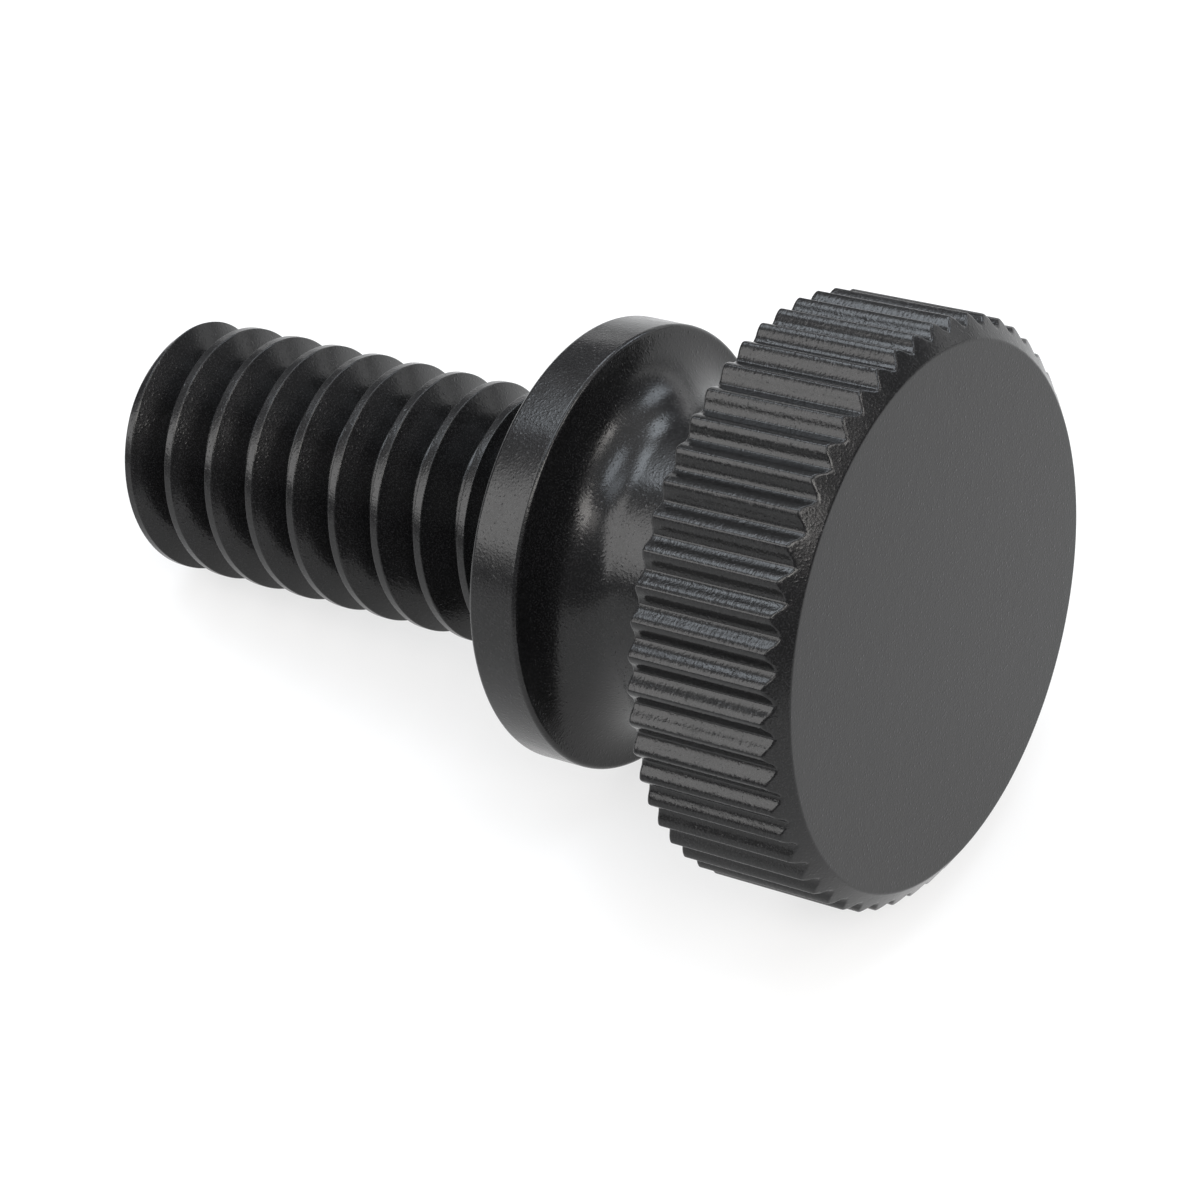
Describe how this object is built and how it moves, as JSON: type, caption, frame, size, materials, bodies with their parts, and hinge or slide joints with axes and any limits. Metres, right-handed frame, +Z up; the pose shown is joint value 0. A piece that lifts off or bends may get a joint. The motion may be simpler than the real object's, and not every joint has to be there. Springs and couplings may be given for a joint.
{
  "type": "thumb screw",
  "caption": "One-piece black plastic thumb screw with a knurled round head, a waisted neck, a round seating collar and a short threaded shank, for fastening by hand.",
  "frame": {"origin": "on the ground, below the middle of the bounding box of the screw as it lies", "axes": "+Z up; the screw lies along X with its head towards +X and its threaded tip towards -X, and its axis slopes down to the tip by 12.24 degrees; +Y completes the right-handed frame"},
  "size_m": [0.0233, 0.0136, 0.0141],
  "materials": {
    "black_plastic": "smooth semi-matte moulded plastic, black"
  },
  "bodies": {
    "root": {"thumb_screw": "black_plastic"}
  },
  "joints": []
}
